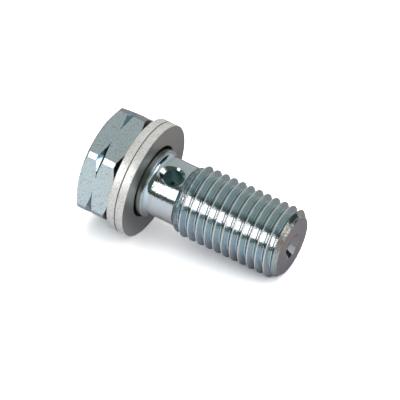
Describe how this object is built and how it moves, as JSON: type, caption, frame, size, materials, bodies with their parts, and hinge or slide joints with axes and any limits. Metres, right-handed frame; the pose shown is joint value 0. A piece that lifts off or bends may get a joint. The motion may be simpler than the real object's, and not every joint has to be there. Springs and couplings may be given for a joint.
{
  "type": "banjo bolt",
  "caption": "Hexagon-headed hollow screw for a banjo fitting, with a grooved head, drilled neck, M10 x 1.25 thread and two flat sealing washers.",
  "frame": {"origin": "centre of the flat top of the hexagonal head, on which the bolt stands", "axes": "+Z along the bolt's axis from the head toward the threaded tip, +X along the hole across the neck"},
  "size_m": [0.0158, 0.0158, 0.0282],
  "materials": {
    "plated_steel": "bright zinc plate with a pale blue cast, fine turning marks and small stains",
    "washer_metal": "satin, tumbled, with a rough cut rim"
  },
  "bodies": {
    "root": {"banjo_bolt": "plated_steel", "head_sealing_washer": "washer_metal", "port_sealing_washer": "washer_metal"}
  },
  "joints": []
}
